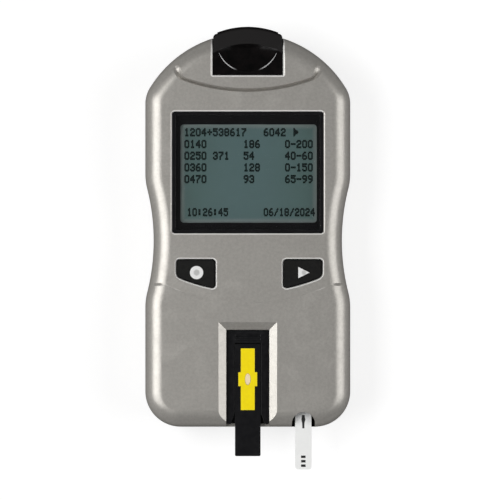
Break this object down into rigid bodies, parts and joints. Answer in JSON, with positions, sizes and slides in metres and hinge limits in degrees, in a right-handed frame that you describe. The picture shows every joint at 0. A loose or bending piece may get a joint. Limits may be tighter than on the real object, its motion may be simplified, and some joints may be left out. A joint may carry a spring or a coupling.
{
  "type": "cholesterol analyzer",
  "caption": "Hand-held cholesterol analyzer with a waisted silver case, grey display, two keys, a plug-in code chip, a strip holder with a test strip, and a small sensor strip port.",
  "frame": {"origin": "middle of the footprint, strips and code chip included, on the surface that the analyzer lies on", "axes": "+X to the right of the case, +Y towards its top end, +Z out of its screen"},
  "size_m": [0.074, 0.1592, 0.0259],
  "materials": {
    "silver_case": "silver metal-flake paint on moulded plastic, satin",
    "black_plastic": "black moulded plastic, satin to gloss",
    "clear_window": "clear polished window",
    "display_grey": "grey-green reflective liquid crystal panel",
    "white_plastic": "white plastic",
    "dark_metal": "blackened steel",
    "bare_metal": "nickel-plated steel",
    "gold_contact": "gold-plated contacts",
    "white_ink": "white moulded symbol",
    "black_ink": "black print",
    "silicone": "grey silicone",
    "circuit_board": "green solder mask",
    "chip_black": "black chip package",
    "small_parts": "ceramic parts with tinned ends",
    "lamp_clear": "clear lamp body",
    "amber_film": "amber film with copper tracks",
    "yellow_cover": "glossy yellow film",
    "pale_pad": "pale absorbent pad",
    "label_grey": "blank label",
    "cell_jacket": "shrunk film jacket with bare steel ends"
  },
  "bodies": {
    "case": {"front_case": "silver_case", "rear_case": "silver_case", "display_trim": "black_plastic", "window_gasket": "black_plastic", "chip_socket": "black_plastic", "optics_block": "black_plastic", "display_window": "clear_window", "optics_glass": "clear_window", "display_panel": "display_grey", "light_guide": "white_plastic", "sensor_socket": "white_plastic", "display_frame": "dark_metal", "case_screws": "dark_metal", "board_screws": "dark_metal", "optics_screws": "dark_metal", "clock_crystal": "bare_metal", "cell_springs": "bare_metal", "contact_plates": "bare_metal", "chip_socket_pins": "gold_contact", "sensor_socket_contacts": "gold_contact", "enter_dome": "silicone", "next_dome": "silicone", "keypad_mat": "silicone", "display_connector": "silicone", "main_board": "circuit_board", "optics_board": "circuit_board", "processor": "chip_black", "memory": "chip_black", "light_sensors": "chip_black", "board_parts": "small_parts", "optics_lamps": "lamp_clear", "optics_flex": "amber_film", "rear_label": "label_grey", "cell_1": "cell_jacket", "cell_2": "cell_jacket", "cell_3": "cell_jacket", "cell_4": "cell_jacket"},
    "enter_button": {"enter_key": "black_plastic", "enter_key_mark": "white_ink"},
    "next_button": {"next_key": "black_plastic", "next_key_mark": "white_ink"},
    "code_chip": {"code_chip_case": "black_plastic", "code_chip_board": "circuit_board", "code_chip_contacts": "gold_contact"},
    "strip_tray": {"strip_holder": "black_plastic"},
    "reagent_strip": {"test_strip": "black_plastic", "test_strip_cover": "yellow_cover", "test_pad": "pale_pad", "reading_pads": "pale_pad"},
    "small_strip": {"sensor_strip": "white_plastic", "sensor_strip_marks": "black_ink"},
    "rear_door": {"battery_door": "silver_case"}
  },
  "joints": [
    {"name": "enter_press", "type": "slide", "parent": "case", "child": "enter_button", "axis": [0, 0, -1], "range_m": [0, 0.0007], "stiffness_N_per_m": 1500, "deforming": ["enter_dome"]},
    {"name": "next_press", "type": "slide", "parent": "case", "child": "next_button", "axis": [0, 0, -1], "range_m": [0, 0.0007], "stiffness_N_per_m": 1500, "deforming": ["next_dome"]},
    {"name": "chip_pull", "type": "slide", "parent": "case", "child": "code_chip", "axis": [0, 1, 0], "range_m": [0, 0.022]},
    {"name": "holder_slide", "type": "slide", "parent": "case", "child": "strip_tray", "axis": [0, -1, 0], "range_m": [0, 0.03]},
    {"name": "strip_pull", "type": "slide", "parent": "strip_tray", "child": "reagent_strip", "axis": [0, -1, 0], "range_m": [0, 0.028]},
    {"name": "sensor_strip_pull", "type": "slide", "parent": "case", "child": "small_strip", "axis": [0, -1, 0], "range_m": [0, 0.013]},
    {"name": "door_slide", "type": "slide", "parent": "case", "child": "rear_door", "axis": [0, -1, 0], "range_m": [0, 0.005]}
  ]
}
